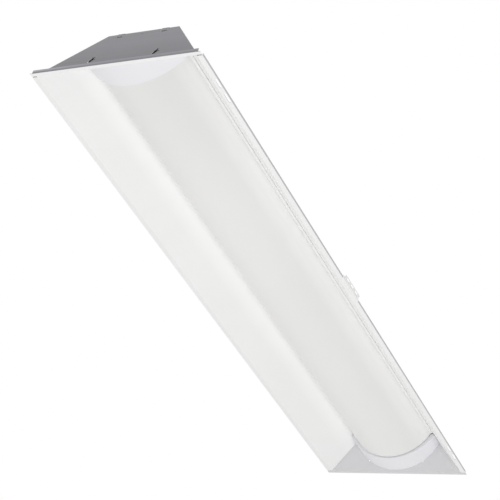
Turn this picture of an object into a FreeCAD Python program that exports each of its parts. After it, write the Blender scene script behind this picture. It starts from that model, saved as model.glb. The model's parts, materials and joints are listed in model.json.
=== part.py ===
import FreeCAD, Part
import math
import os
import Sketcher

# Recessed troffer light for a 1 x 4 ft ceiling grid.  Millimetres, +Z up.
# The origin is the middle of the face, in the plane of the face flange's
# underside.  X runs across the light and Y along it; "near" is the -Y end,
# "left" is -X.  The light is used face down, as it lies here.

Vector = FreeCAD.Vector
ROUND_TURN = 360.0

# Driving dimensions, written once and read everywhere else from the sheet.
DIMENSIONS = {
    # face and housing
    "face_width": 302.0,
    "face_length": 1214.0,
    "sheet": 0.8,
    "lip_height": 7.0,
    "side_lip_height": 4.0,
    "side_flange": 9.0,
    "end_flange": 6.0,
    "corner_slit": 2.2,
    "corner_notch": 4.0,
    "housing_height": 102.0,
    "pan_inset": 8.0,
    "pan_top_half": 64.0,
    "end_lean": 0.32,
    "seat_gap": 0.3,
    "foot_gap": 0.8,
    # side reflectors
    "reflector_top_half": 83.6,
    "reflector_top_height": 66.0,
    "top_flange": 12.0,
    "top_flange_margin": 1.2,
    "top_flange_setback": 100.0,
    "tray_screw_inset": 8.1,
    # slots in the face flanges
    "slot_inset": 0.4,
    "slot_width": 4.0,
    "slot_length": 20.0,
    "slot_outer_setback": 68.0,
    "slot_pitch": 32.0,
    # end plates
    "lance_half_spacing": 57.0,
    "lance_height": 29.0,
    "lance_width": 7.0,
    "lance_depth": 16.0,
    "lance_arm": 4.0,
    "tongue_width": 3.0,
    "tongue_height": 4.5,
    "tongue_gap": 0.3,
    "top_tab_half_spacing": 40.0,
    "top_tab_width": 13.0,
    "top_tab_length": 14.0,
    "top_slit_width": 10.0,
    "top_slit_height": 2.6,
    "top_slit_drop": 6.8,
    "centre_hole_radius": 1.2,
    # lens and its door
    "hinge_height": 63.4,
    "bead_radius": 1.8,
    "bead_gap": 0.3,
    "pin_radius": 1.0,
    "pin_clearance": 0.05,
    "lens_low": 7.0,
    "lens_thickness": 1.6,
    "lens_setback": 2.6,
    "lens_end_gap": 1.4,
    "groove_start": 2.2,
    "groove_clearance": 0.25,
    "jaw_length": 6.0,
    "lower_jaw_length": 3.4,
    "jaw_wall": 0.7,
    "wing_length": 3.2,
    "wing_thickness": 0.8,
    "pin_grip": 12.0,
    # end bands
    "band_length": 54.0,
    "band_low": 4.5,
    "band_thickness": 1.0,
    "band_edge_height": 57.5,
    "band_gap": 0.4,
    "rim_thickness": 1.0,
    "rim_depth": 4.0,
    "rim_height": 61.0,
    # hinge brackets and magnetic catches of the door
    "bracket_gap": 2.8,
    "bracket_length": 20.0,
    "bracket_inner_half": 64.0,
    "bracket_screw_inset": 6.0,
    "ear_thickness": 1.2,
    "ear_radius": 1.85,
    "catch_setback": 30.0,
    "catch_length": 24.0,
    "catch_start": 0.5,
    "catch_reach": 6.0,
    "catch_depth": 7.0,
    "keeper_length": 20.0,
    "keeper_thickness": 0.8,
    "magnet_gap": 0.3,
    "magnet_thickness": 3.6,
    # tray and LED boards
    "tray_inset": 2.0,
    "tray_flange": 8.0,
    "board_length": 540.0,
    "board_width": 30.0,
    "board_thickness": 1.6,
    "board_spacing": 2.0,
    "led_length": 3.5,
    "led_width": 2.8,
    "led_height": 0.7,
    "led_pitch": 15.0,
    "led_count": 35.0,
    "connector_length": 11.0,
    "connector_width": 9.0,
    "connector_height": 5.0,
    # driver
    "driver_x": -42.0,
    "driver_length": 360.0,
    "driver_width": 44.0,
    "driver_top_gap": 2.8,
    "driver_end": 30.0,
    "driver_wall": 0.8,
    "driver_ear": 15.0,
    "driver_board_height": 6.0,
    "driver_board_margin": 2.0,
    "driver_board_length": 330.0,
    "driver_inner_gap": 3.6,
    "driver_post_radius": 2.0,
    "transformer_width": 26.0,
    "transformer_length": 30.0,
    "transformer_flange": 4.0,
    "transformer_neck": 3.0,
    "capacitor_radius": 7.5,
    "capacitor_near_y": -110.0,
    "capacitor_next_y": -85.0,
    "capacitor_far_y": 70.0,
    # wiring
    "wire_radius": 0.9,
    "wire_spread": 6.0,
    "wire_height": 12.0,
    "bushing_x": -24.0,
    "bushing_setback": 62.0,
    "bushing_radius": 5.0,
    "bushing_flange": 1.5,
    "bushing_bore": 3.4,
    "wire_pair_x": 1.7,
    "wire_pair_y": 1.2,
    "disconnect_x": -20.0,
    "plug_setback": 90.0,
    "plug_length": 22.0,
    "socket_length": 26.0,
    "disconnect_width": 20.0,
    "disconnect_height": 12.0,
    "ground_x": 22.0,
    "ground_setback": 96.0,
    # access plate on the back
    "access_hinge_setback": 74.0,
    "access_half_width": 48.0,
    "access_length": 112.0,
    "access_setback": 1.0,
    "opening_half_width": 40.0,
    "opening_start": 10.0,
    "opening_length": 84.0,
    "knockout_radius": 11.1,
    "knockout_x": 24.0,
    "knockout_y": 36.0,
    "knockout_rear_y": 72.0,
    "knockout_ring": 0.4,
    "knockout_tie": 2.0,
    "tongue_half_spacing": 30.0,
    "tongue_half_slot": 1.8,
    # folding tongues shared by the access plate and the grid clips
    "neck_width": 6.0,
    "neck_side_gap": 0.5,
    "head_width": 10.0,
    "head_start": 2.0,
    "head_length": 1.5,
    # grid clips
    "clip_axis_height": 4.2,
    "clip_lean": 34.0,
    "clip_start": 1.6,
    "clip_height": 4.4,
    "clip_length": 62.0,
    "clip_centre_y": -19.0,
    "clip_window_length": 11.0,
    "clip_window_height": 2.4,
    "clip_slot_half": 1.8,
    # screws
    "screw_radius": 2.0,
    "screw_hole_gap": 0.15,
    "screw_head_radius": 3.8,
    "screw_head_height": 2.2,
    "screw_length": 6.0,
    "captive_screw_gap": 0.7,
    "hanger_hole_radius": 3.0,
    "hanger_setback": 77.0,
    "hanger_half_spacing": 52.0,
    "rib_height": 1.5,
    "rib_width": 12.0,
    "rib_margin": 10.0,
    "rib_setback": 260.0,
    "rib_pitch": 120.0,
}


class Size:
    """A length that keeps its number together with the expression it comes from."""

    def __init__(self, value, text):
        self.value = float(value)
        self.text = text

    def __add__(self, other):
        other = as_size(other)
        return Size(self.value + other.value, "(%s + %s)" % (self.text, other.text))

    def __radd__(self, other):
        return as_size(other) + self

    def __sub__(self, other):
        other = as_size(other)
        return Size(self.value - other.value, "(%s - %s)" % (self.text, other.text))

    def __rsub__(self, other):
        return as_size(other) - self

    def __mul__(self, other):
        other = as_size(other)
        return Size(self.value * other.value, "(%s * %s)" % (self.text, other.text))

    def __rmul__(self, other):
        return as_size(other) * self

    def __truediv__(self, other):
        other = as_size(other)
        return Size(self.value / other.value, "(%s / %s)" % (self.text, other.text))

    def __rtruediv__(self, other):
        return as_size(other) / self

    def __neg__(self):
        return as_size(0.0) - self


def as_size(thing):
    if isinstance(thing, Size):
        return thing
    return Size(thing, "(%r)" % float(thing))


def root(size):
    return Size(math.sqrt(size.value), "sqrt(%s)" % size.text)


def arcsine(size):
    return Size(math.degrees(math.asin(size.value)), "asin(%s)" % size.text)


doc = FreeCAD.newDocument("Troffer")
sheet = doc.addObject("Spreadsheet::Sheet", "Params")
derived_sizes = doc.addObject("App::VarSet", "Derived")
made = []


class Dimensions:
    """The driving dimensions, as attributes."""


dim = Dimensions()
for row, (alias, number) in enumerate(DIMENSIONS.items(), start=1):
    sheet.set("A%d" % row, alias)
    sheet.set("B%d" % row, "%r" % number)
    sheet.setAlias("B%d" % row, alias)
    setattr(dim, alias, Size(number, "Params.%s" % alias))
doc.recompute()


def derived(name, size):
    """A size worked out from others, kept under its own name."""
    derived_sizes.addProperty("App::PropertyFloat", name, "Derived")
    derived_sizes.setExpression(name, size.text)
    return Size(size.value, "Derived.%s" % name)


# ---------------------------------------------------------------- sketches

def origin_plane(body, role):
    for feature in body.Origin.OriginFeatures:
        if feature.Role == role:
            return feature
    raise ValueError("no plane " + role)


# axis of the prism: origin plane, sign of its normal along that axis
PLANES = {"x": ("YZ_Plane", 1.0), "y": ("XZ_Plane", -1.0), "z": ("XY_Plane", 1.0)}


def new_sketch(body, axis, position):
    role, sign = PLANES[axis]
    name = "%s_sketch_%d" % (body.Name, len(body.Group))
    sketch = body.newObject("Sketcher::SketchObject", name)
    sketch.AttachmentSupport = (origin_plane(body, role), [""])
    sketch.MapMode = "FlatFace"
    offset = sign * as_size(position)
    sketch.AttachmentOffset = FreeCAD.Placement(Vector(0, 0, offset.value), FreeCAD.Rotation())
    sketch.setExpression("AttachmentOffset.Base.z", offset.text)
    return sketch


def pin_point(sketch, geometry, vertex, x, y):
    """Fixes a point of the sketch at two bound distances from its origin."""
    for kind, distance in (("DistanceX", x), ("DistanceY", y)):
        index = sketch.addConstraint(
            Sketcher.Constraint(kind, -1, 1, geometry, vertex, distance.value))
        sketch.setExpression("Constraints[%d]" % index, distance.text)


def fix_radius(sketch, geometry, radius):
    index = sketch.addConstraint(Sketcher.Constraint("Radius", geometry, radius.value))
    sketch.setExpression("Constraints[%d]" % index, radius.text)


def arc_between(start, finish, radius):
    """Arc from start to finish, anticlockwise for a positive radius."""
    size = abs(radius)
    chord = finish - start
    middle = start + chord * 0.5
    rise = math.sqrt(max(size * size - chord.Length * chord.Length / 4.0, 0.0))
    side = Vector(-chord.y, chord.x, 0).normalize() * math.copysign(rise, radius)
    centre = middle + side
    first, last = (start, finish) if radius > 0 else (finish, start)
    circle = Part.Circle(centre, Vector(0, 0, 1), size)
    return Part.ArcOfCircle(circle, circle.parameter(first), circle.parameter(last))


def outline(*corners):
    """A closed outline of (x, y) corners; a third value makes an arc to the next corner."""
    return [tuple(as_size(value) for value in corner) for corner in corners]


def rectangle(low_x, high_x, low_y, high_y):
    return outline((low_x, low_y), (high_x, low_y), (high_x, high_y), (low_x, high_y))


def circle(x, y, radius):
    return ("circle", as_size(x), as_size(y), as_size(radius))


def draw(sketch, shape):
    if shape[0] == "circle":
        centre = Vector(shape[1].value, shape[2].value, 0)
        index = sketch.addGeometry(Part.Circle(centre, Vector(0, 0, 1), shape[3].value), False)
        pin_point(sketch, index, 3, shape[1], shape[2])
        fix_radius(sketch, index, shape[3])
        return
    ends = []
    for here, there in zip(shape, shape[1:] + shape[:1]):
        start = Vector(here[0].value, here[1].value, 0)
        finish = Vector(there[0].value, there[1].value, 0)
        if len(here) == 3:
            index = sketch.addGeometry(arc_between(start, finish, here[2].value), False)
            fix_radius(sketch, index, abs_size(here[2]))
            ends.append((index, 1, 2) if here[2].value > 0 else (index, 2, 1))
        else:
            index = sketch.addGeometry(Part.LineSegment(start, finish), False)
            ends.append((index, 1, 2))
    for this, following in zip(ends, ends[1:] + ends[:1]):
        sketch.addConstraint(
            Sketcher.Constraint("Coincident", this[0], this[2], following[0], following[1]))
    for corner, end in zip(shape, ends):
        pin_point(sketch, end[0], end[1], corner[0], corner[1])


def abs_size(size):
    return size if size.value >= 0 else -size


# ---------------------------------------------------------------- bodies

def new_body(label):
    body = doc.addObject("PartDesign::Body", label)
    body.Label = label
    body.AllowCompound = True
    made.append(body)
    return body


def add_prism(body, axis, low, high, *shapes):
    """Pads outlines along an axis from low to high."""
    low, high = as_size(low), as_size(high)
    if low.value > high.value:
        low, high = high, low
    sketch = new_sketch(body, axis, (low + high) / 2)
    for shape in shapes:
        draw(sketch, shape)
    feature = body.newObject("PartDesign::Pad", "%s_pad_%d" % (body.Name, len(body.Group)))
    feature.Profile = sketch
    feature.Midplane = True
    feature.Length = (high - low).value
    feature.setExpression("Length", (high - low).text)
    sketch.Visibility = False
    return feature


def cut_prism(body, axis, low, high, *shapes):
    """Cuts outlines along an axis from low to high."""
    doc.recompute()
    volume = body.Shape.Volume
    low, high = as_size(low), as_size(high)
    if low.value > high.value:
        low, high = high, low
    sketch = new_sketch(body, axis, (low + high) / 2)
    for shape in shapes:
        draw(sketch, shape)
    name = "%s_pocket_%d" % (body.Name, len(body.Group))
    feature = body.newObject("PartDesign::Pocket", name)
    feature.Profile = sketch
    feature.Midplane = True
    feature.Length = (high - low).value
    feature.setExpression("Length", (high - low).text)
    sketch.Visibility = False
    doc.recompute()
    if not body.Shape.Volume < volume - 1e-6:
        raise ValueError("a cut of %s removes nothing" % body.Label)
    return feature


def place_body(body, x, y, z, angle):
    """Puts a body at a bound point, turned about Y by a bound angle."""
    turn = FreeCAD.Rotation(Vector(0, 1, 0), angle.value)
    body.Placement = FreeCAD.Placement(Vector(x.value, y.value, z.value), turn)
    body.setExpression("Placement.Base.x", x.text)
    body.setExpression("Placement.Base.y", y.text)
    body.setExpression("Placement.Base.z", z.text)
    body.setExpression("Placement.Rotation.Angle", angle.text)


# ---------------------------------------------------------------- shared sizes

steel = dim.sheet
half_width = derived("half_width", dim.face_width / 2)
half_length = derived("half_length", dim.face_length / 2)

# slope of the side reflectors, and how far one sheet reaches along it
flange_inner = derived("flange_inner", half_width - dim.side_flange)
reflector_slope = derived(
    "reflector_slope", dim.reflector_top_height / (flange_inner - dim.reflector_top_half))
reflector_stretch = derived("reflector_stretch", root(1 + reflector_slope * reflector_slope))

# slope of the pan's sides
pan_base_half = derived("pan_base_half", half_width - dim.pan_inset)
pan_foot_half = derived("pan_foot_half", half_width - steel - dim.foot_gap)
pan_slope = derived(
    "pan_slope", (dim.housing_height - 2 * steel) / (pan_base_half - dim.pan_top_half))
pan_stretch = derived("pan_stretch", root(1 + pan_slope * pan_slope))

# leaning end plates: distance of the inner face from the middle, by height
plate_run = derived("plate_run", steel * root(1 + dim.end_lean * dim.end_lean))


def plate_inner(height):
    return half_length - dim.end_flange - dim.end_lean * as_size(height)


def reflector_x(height, distance):
    """Where a point stands that is this far off the reflector's visible face."""
    return (flange_inner - as_size(height) / reflector_slope
            - as_size(distance) * reflector_stretch / reflector_slope)


# the lens hangs between two rails; the left one turns about the hinge line
hinge_x = derived("hinge_x", reflector_x(dim.hinge_height, dim.bead_radius + dim.bead_gap))
lens_sag = derived("lens_sag", dim.hinge_height - dim.lens_low)
lens_radius = derived(
    "lens_radius", (hinge_x * hinge_x + lens_sag * lens_sag) / (2 * lens_sag))
lens_centre = derived("lens_centre", dim.lens_low + lens_radius)
lens_half = derived("lens_half", half_length - dim.band_length - dim.lens_end_gap)
edge_angle = derived("edge_angle", arcsine(hinge_x / lens_radius) / Size(1, "1 deg"))

# the end bands follow a flatter arc just below the lens
band_edge = derived("band_edge", reflector_x(dim.band_edge_height, dim.band_gap))
band_sag = derived("band_sag", dim.band_edge_height - dim.band_low)
band_radius = derived("band_radius", (band_edge * band_edge + band_sag * band_sag) / (2 * band_sag))
band_centre = derived("band_centre", dim.band_low + band_radius)

# tray, boards and driver stack up from the tray's underside
tray_low = derived("tray_low", dim.reflector_top_height + steel)
tray_top = derived("tray_top", tray_low + steel)
tray_half = derived("tray_half", dim.reflector_top_half - dim.tray_inset)
tray_screw_x = derived("tray_screw_x", dim.reflector_top_half - dim.tray_screw_inset)
board_low = derived("board_low", tray_low - dim.board_thickness)
screw_hole = derived("screw_hole", dim.screw_radius + dim.screw_hole_gap)
bracket_start = derived("bracket_start", lens_half + dim.bracket_gap)
clip_axis_x = derived("clip_axis_x", half_width - steel / 2)

# the driver fills the height between the tray and the pan, and its parts fill the driver
driver_low = derived("driver_low", tray_top + dim.driver_wall)
driver_height = derived(
    "driver_height", dim.housing_height - steel - dim.driver_top_gap - driver_low)
driver_board_top = derived(
    "driver_board_top", driver_low + dim.driver_board_height + dim.board_thickness)
capacitor_height = derived(
    "capacitor_height",
    driver_low + driver_height - dim.driver_wall - dim.driver_inner_gap - driver_board_top)
transformer_core = derived(
    "transformer_core", capacitor_height - dim.transformer_flange - dim.transformer_flange / 2)

# the wiring follows the driver's two ends
driver_start = derived("driver_start", dim.driver_end - dim.driver_length)
bushing_y = derived("bushing_y", driver_start - dim.bushing_setback)
plug_start = derived("plug_start", dim.driver_end + dim.plug_setback)
ground_y = derived("ground_y", dim.driver_end + dim.ground_setback)
access_hinge_y = derived("access_hinge_y", dim.driver_end + dim.access_hinge_setback)

# direction of the lens's edge at its rails
edge_sine = derived("edge_sine", hinge_x / lens_radius)
edge_cosine = derived("edge_cosine", (lens_centre - dim.hinge_height) / lens_radius)

TRAY_SCREW_SHARES = (-0.9, -0.3, 0.3, 0.9)
DRIVER_ENDS = (-1, 1)
SIDES = (("left", -1), ("right", 1))
ENDS = (("near", -1), ("far", 1))


# ---------------------------------------------------------------- housing

def end_cuts(gap, low, high):
    """Two outlines that trim a piece to the leaning end plates."""
    beyond = half_length + 20
    shapes = []
    for _, end in ENDS:
        shapes.append(outline(
            (end * (plate_inner(low) - gap), low),
            (end * beyond, low),
            (end * beyond, high),
            (end * (plate_inner(high) - gap), high)))
    return shapes


def slot_places():
    """Middles of the slots in the right face flange."""
    x = half_width - steel - dim.slot_inset - dim.slot_width / 2
    return [(x, end * (half_length - dim.slot_outer_setback - step * dim.slot_pitch))
            for _, end in ENDS for step in (0, 1)]


def slot_outline(x, y):
    """A slot along Y with round ends."""
    radius = dim.slot_width / 2
    straight = dim.slot_length / 2 - radius
    reach = dim.slot_length / 2
    return outline(
        (x + radius, y - straight), (x + radius, y + straight, radius),
        (x, y + reach, radius), (x - radius, y + straight),
        (x - radius, y - straight, radius), (x, y - reach, radius))


def clip_neck_places():
    """Y places of the two necks that hold one grid clip."""
    post = (dim.clip_length - 3 * dim.clip_window_length) / 4
    reach = dim.clip_length / 2 - post / 2
    return (dim.clip_centre_y - reach, dim.clip_centre_y + reach)


def clip_lip():
    """Y limits of the stretch where the lip stands taller, to carry a grid clip."""
    reach = dim.clip_length / 2 + 4
    return (dim.clip_centre_y - reach, dim.clip_centre_y + reach)


def make_back_pan():
    body = new_body("back_pan")
    top = dim.housing_height
    bend = steel * (pan_stretch - 1) / pan_slope
    right = [
        (pan_foot_half, 2 * steel),
        (pan_base_half, 2 * steel),
        (dim.pan_top_half, top),
    ]
    under = [
        (pan_foot_half, steel),
        (pan_base_half - bend, steel),
        (dim.pan_top_half - bend, top - steel),
    ]
    corners = right
    corners += [(-x, z) for x, z in reversed(right)]
    corners += [(-x, z) for x, z in under]
    corners += list(reversed(under))
    add_prism(body, "y", -half_length, half_length, outline(*corners))
    cut_prism(body, "x", -half_width, half_width,
              *end_cuts(dim.seat_gap, as_size(-1), top + dim.rib_height + 1))
    around = dim.slot_width / 2 + steel
    reach = dim.slot_length / 2 + steel
    feet = [rectangle(x - around, x + around, y - reach, y + reach) for x, y in slot_places()]
    for _, side in SIDES:
        clip_reach = dim.clip_length / 2 + 3
        feet.append(rectangle(
            side * (half_width - steel - 4), side * (half_width + 1),
            dim.clip_centre_y - clip_reach, dim.clip_centre_y + clip_reach))
    cut_prism(body, "z", 0, 4 * steel, *feet)
    add_ribs(body)
    cut_access_opening(body)
    cut_hanger_holes(body)
    top_screws = [circle(side * dim.top_tab_half_spacing, end * top_screw_y(), screw_hole)
                  for _, side in SIDES for _, end in ENDS]
    cut_prism(body, "z", top - 2 * steel, top + steel, *top_screws)
    return body


def add_ribs(body):
    """Pressed stiffening ribs across the pan's top, hollow underneath."""
    top = dim.housing_height
    half = dim.pan_top_half - dim.rib_margin
    outer = []
    inner = []
    for _, end in ENDS:
        for step in (0, 1):
            centre = end * (half_length - dim.rib_setback + step * dim.rib_pitch)
            width = dim.rib_width / 2
            outer.append(rectangle(-half, half, centre - width, centre + width))
            inner.append(rectangle(-half + steel, half - steel,
                                   centre - width + steel, centre + width - steel))
    add_prism(body, "z", top - steel / 2, top + dim.rib_height, *outer)
    cut_prism(body, "z", top - 2 * steel, top + dim.rib_height - steel, *inner)


def cut_access_opening(body):
    top = dim.housing_height
    start = access_hinge_y + dim.opening_start
    shapes = [rectangle(-dim.opening_half_width, dim.opening_half_width,
                        start, start + dim.opening_length)]
    shapes.append(circle(0, access_screw_y(), dim.screw_radius + dim.captive_screw_gap))
    for _, side in SIDES:
        reach = dim.neck_width / 2 + dim.neck_side_gap
        shapes.append(rectangle(
            side * dim.tongue_half_spacing - reach, side * dim.tongue_half_spacing + reach,
            access_hinge_y - dim.tongue_half_slot, access_hinge_y + dim.tongue_half_slot))
    cut_prism(body, "z", top - 2 * steel, top + steel, *shapes)


def cut_hanger_holes(body):
    """Holes for the hanger wires, in the corners of the pan's top."""
    top = dim.housing_height
    shapes = [circle(side * dim.hanger_half_spacing, end * (half_length - dim.hanger_setback),
                     dim.hanger_hole_radius) for _, side in SIDES for _, end in ENDS]
    cut_prism(body, "z", top - 2 * steel, top + steel, *shapes)


def access_screw_y():
    return access_hinge_y + dim.access_length - 8


def top_screw_y():
    """Distance from the middle of the screws that hold an end plate's top tabs."""
    return plate_inner(dim.housing_height) - dim.top_tab_length / 2 + plate_run


def make_reflector(name, side):
    body = new_body(name + "_reflector")
    height = dim.reflector_top_height
    top = height + steel
    bend = steel * (reflector_stretch - 1) / reflector_slope
    corners = [
        (half_width, dim.lip_height),
        (half_width, 0),
        (flange_inner, 0),
        (dim.reflector_top_half, height),
        (dim.reflector_top_half - dim.top_flange, height),
        (dim.reflector_top_half - dim.top_flange, top),
        (dim.reflector_top_half + bend, top),
        (flange_inner + bend, steel),
        (half_width - steel, steel),
        (half_width - steel, dim.lip_height),
    ]
    add_prism(body, "y", -half_length, half_length,
              outline(*[(side * x, z) for x, z in corners]))
    cut_prism(body, "x", -half_width - 1, half_width + 1,
              *end_cuts(dim.seat_gap, as_size(-1), top + 1))
    edge = dim.reflector_top_half - dim.top_flange
    notches = [rectangle(side * (edge - 1), side * (dim.reflector_top_half - dim.top_flange_margin),
                         end * (half_length - dim.top_flange_setback), end * half_length)
               for _, end in ENDS]
    cut_prism(body, "z", height - 1, top + 1, *notches)
    slits = [rectangle(side * flange_inner, side * (half_width + 1),
                       end * (half_length - dim.end_flange - dim.corner_slit),
                       end * (half_length + 1)) for _, end in ENDS]
    cut_prism(body, "z", -1, dim.lip_height + 1, *slits)
    if side > 0:
        cut_prism(body, "z", -1, 2 * steel, *[slot_outline(x, y) for x, y in slot_places()])
    near, far = clip_lip()
    low_lips = [rectangle(place, end * (half_length + 1), dim.side_lip_height, dim.lip_height + 1)
                for place, end in ((near, -1), (far, 1))]
    cut_prism(body, "x", side * (half_width - 2 * steel), side * (half_width + steel), *low_lips)
    reach = dim.neck_width / 2 + dim.neck_side_gap
    slots = [rectangle(place - reach, place + reach,
                       dim.clip_axis_height - dim.clip_slot_half,
                       dim.clip_axis_height + dim.clip_slot_half)
             for place in clip_neck_places()]
    cut_prism(body, "x", side * (half_width - 2 * steel), side * (half_width + steel), *slots)
    holes = [circle(x, y, screw_hole) for x, y in tray_screw_places(side)]
    cut_prism(body, "z", height - 1, top + 1, *holes)
    return body


def tray_screw_places(side):
    return [(side * tray_screw_x, share * lens_half) for share in TRAY_SCREW_SHARES]


def make_end_plate(name, end):
    body = new_body(name + "_end_plate")
    top = dim.housing_height
    base = plate_inner(0)
    outer = base + plate_run
    section = [
        (half_length, dim.lip_height),
        (half_length, 0),
        (base, 0),
        (plate_inner(top), top),
        (plate_inner(top) + plate_run, top),
        (outer - dim.end_lean * steel, steel),
        (half_length - steel, steel),
        (half_length - steel, dim.lip_height),
    ]
    add_prism(body, "x", -half_width, half_width, outline(*[(end * y, z) for y, z in section]))
    trims = [outline((side * pan_base_half, 2 * steel),
                     (side * dim.pan_top_half, top),
                     (side * dim.pan_top_half, top + 5),
                     (side * (half_width + 5), top + 5),
                     (side * (half_width + 5), 2 * steel)) for _, side in SIDES]
    inward = end * (half_length - dim.end_flange / 2)
    beyond = end * (plate_inner(top) - 5)
    cut_prism(body, "y", inward, beyond, *trims)
    corners = [rectangle(side * (half_width - dim.corner_notch), side * (half_width + 1),
                         steel, dim.lip_height + 1) for _, side in SIDES]
    cut_prism(body, "y", inward, end * (half_length + 1), *corners)
    cut_prism(body, "y", inward, beyond, *plate_openings())
    tabs = []
    holes = []
    outer_top = plate_inner(top) + plate_run
    for _, side in SIDES:
        place = side * dim.top_tab_half_spacing
        tab = dim.top_tab_width / 2
        tabs.append(rectangle(place - tab, place + tab,
                              end * (outer_top - dim.top_tab_length), end * outer_top))
        holes.append(circle(place, end * top_screw_y(), screw_hole))
    add_prism(body, "z", top, top + steel, *tabs)
    cut_prism(body, "z", top - steel / 2, top + 2 * steel, *holes)
    return body


def plate_openings():
    """Lances, slits under the top tabs and the small hole in the middle, seen along Y."""
    ledge = dim.housing_height - dim.top_slit_drop
    foot = ledge - dim.top_slit_height
    shapes = [circle(0, ledge, dim.centre_hole_radius)]
    wide = dim.lance_width / 2
    deep = dim.lance_depth / 2
    slit = dim.top_slit_width / 2
    for _, side in SIDES:
        middle = side * dim.lance_half_spacing
        level = dim.lance_height
        shapes.append(outline(
            (middle - wide, level - deep),
            (middle + wide * 0.6, level - deep),
            (middle + wide, level - deep * 0.3),
            (middle + wide + dim.lance_arm, level),
            (middle + wide + dim.lance_arm, level + dim.tongue_width),
            (middle + wide, level + dim.tongue_width),
            (middle + wide, level + deep),
            (middle - wide * 0.2, level + deep)))
        place = side * dim.top_tab_half_spacing
        shapes.append(outline(
            (place - slit, foot), (place + slit, foot),
            (place + slit, ledge + dim.top_slit_height), (place + slit * 0.6, ledge),
            (place - slit, ledge)))
    return shapes


# ---------------------------------------------------------------- end bands

def band_height(x, radius):
    """Height of an arc of the end band at a distance from the middle."""
    x = as_size(x)
    return band_centre - root(radius * radius - x * x)


def make_end_band(name, end):
    body = new_body(name + "_end_band")
    inner_radius = band_radius - dim.band_thickness
    inner_edge = root(inner_radius * inner_radius
                      - (band_centre - dim.band_edge_height) * (band_centre - dim.band_edge_height))
    start = end * (half_length - dim.band_length)
    finish = end * half_length
    add_prism(body, "y", start, finish, outline(
        (-band_edge, dim.band_edge_height, band_radius),
        (band_edge, dim.band_edge_height),
        (inner_edge, dim.band_edge_height, -inner_radius),
        (-inner_edge, dim.band_edge_height)))
    low = dim.band_low - 1
    high = dim.band_edge_height + 1
    cut_prism(body, "x", -half_width, half_width, outline(
        (end * (plate_inner(low) - 0.1), low),
        (end * (half_length + 5), low),
        (end * (half_length + 5), high),
        (end * (plate_inner(high) - 0.1), high)))
    add_band_rim(body, end)
    for _, side in SIDES:
        add_band_tongue(body, end, side)
    return body


def add_band_rim(body, end):
    """The rim behind the band's open edge, which closes the gap over the lens's end."""
    radius = band_radius - dim.band_thickness * 0.75
    edge = dim.band_edge_height
    drop = band_centre - edge
    low_x = root(radius * radius - drop * drop)
    top_radius = lens_radius - dim.lens_thickness - dim.rim_depth
    rise = lens_centre - dim.rim_height
    top_x = root(top_radius * top_radius - rise * rise)
    side_x = reflector_x(dim.rim_height, dim.band_gap)
    start = half_length - dim.band_length
    add_prism(body, "y", end * start, end * (start + dim.rim_thickness), outline(
        (-low_x, edge, radius),
        (low_x, edge),
        (side_x, dim.rim_height),
        (top_x, dim.rim_height, -top_radius),
        (-top_x, dim.rim_height),
        (-side_x, dim.rim_height)))


def add_band_tongue(body, end, side):
    """A flat hook that rises from the band and ends behind a lance of the end plate."""
    middle = side * dim.lance_half_spacing
    tip = middle + dim.tongue_gap
    stem = middle + dim.lance_width / 2 + dim.lance_arm + dim.tongue_gap
    back = stem + dim.tongue_width
    high = dim.lance_height + dim.lance_depth / 2 - dim.tongue_gap
    low = high - dim.tongue_height
    centre_line = band_radius - dim.band_thickness / 2
    outside = plate_inner(high) - dim.tongue_gap
    add_prism(body, "y", end * (outside - dim.band_thickness), end * outside, outline(
        (stem, band_height(stem, centre_line)),
        (back, band_height(back, centre_line)),
        (back, high),
        (tip, high),
        (tip, low),
        (stem, low)))


# ---------------------------------------------------------------- lens door

def make_lens():
    body = new_body("lens")
    edge_z = dim.hinge_height - dim.lens_setback * hinge_x / lens_radius
    drop = lens_centre - edge_z
    edge_x = root(lens_radius * lens_radius - drop * drop)
    inner_radius = lens_radius - dim.lens_thickness
    share = inner_radius / lens_radius
    add_prism(body, "y", -lens_half, lens_half, outline(
        (-edge_x, edge_z, lens_radius),
        (edge_x, edge_z),
        (edge_x * share, lens_centre - drop * share, -inner_radius),
        (-edge_x * share, lens_centre - drop * share)))
    return body


def make_lens_rail(name, side):
    """Extruded rail: a hollow bead on the hinge line and two jaws that grip the lens edge."""
    body = new_body(name + "_lens_rail")
    bead = dim.bead_radius
    gap = dim.groove_clearance
    wall = dim.jaw_wall
    upper = dim.lens_thickness + gap
    below = [(-bead, 0, bead), (0, -bead)] if side < 0 else wing_corners()
    corners = [
        (0, bead, bead),
        *below,
        (bead, -gap - wall),
        (dim.lower_jaw_length, -gap - wall),
        (dim.lower_jaw_length, -gap),
        (dim.groove_start, -gap),
        (dim.groove_start, upper),
        (dim.jaw_length, upper),
        (dim.jaw_length, upper + wall),
        (0, upper + wall),
    ]
    turned = []
    for corner in corners:
        point = [-side * as_size(corner[0]), corner[1]]
        if len(corner) == 3:
            point.append(-side * corner[2])
        turned.append(tuple(point))
    bore = circle(0, 0, dim.pin_radius)
    add_prism(body, "y", -lens_half, lens_half, outline(*turned), bore)
    place_body(body, side * hinge_x, as_size(0), dim.hinge_height, -side * edge_angle)
    return body


def wing_corners():
    """The right rail's wing, which runs beside the reflector and closes the gap to it.

    Across points from the rail's axis to the reflector, and down runs along it."""
    across_u = -(reflector_slope * edge_cosine + edge_sine) / reflector_stretch
    across_v = (edge_cosine - reflector_slope * edge_sine) / reflector_stretch
    down_u = (reflector_slope * edge_sine - edge_cosine) / reflector_stretch
    down_v = -(edge_sine + reflector_slope * edge_cosine) / reflector_stretch
    bead = dim.bead_radius
    tip = dim.wing_length
    inner = bead - dim.wing_thickness
    return [
        (bead * across_u, bead * across_v),
        (bead * across_u + tip * down_u, bead * across_v + tip * down_v),
        (inner * across_u + tip * down_u, inner * across_v + tip * down_v),
    ]


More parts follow.
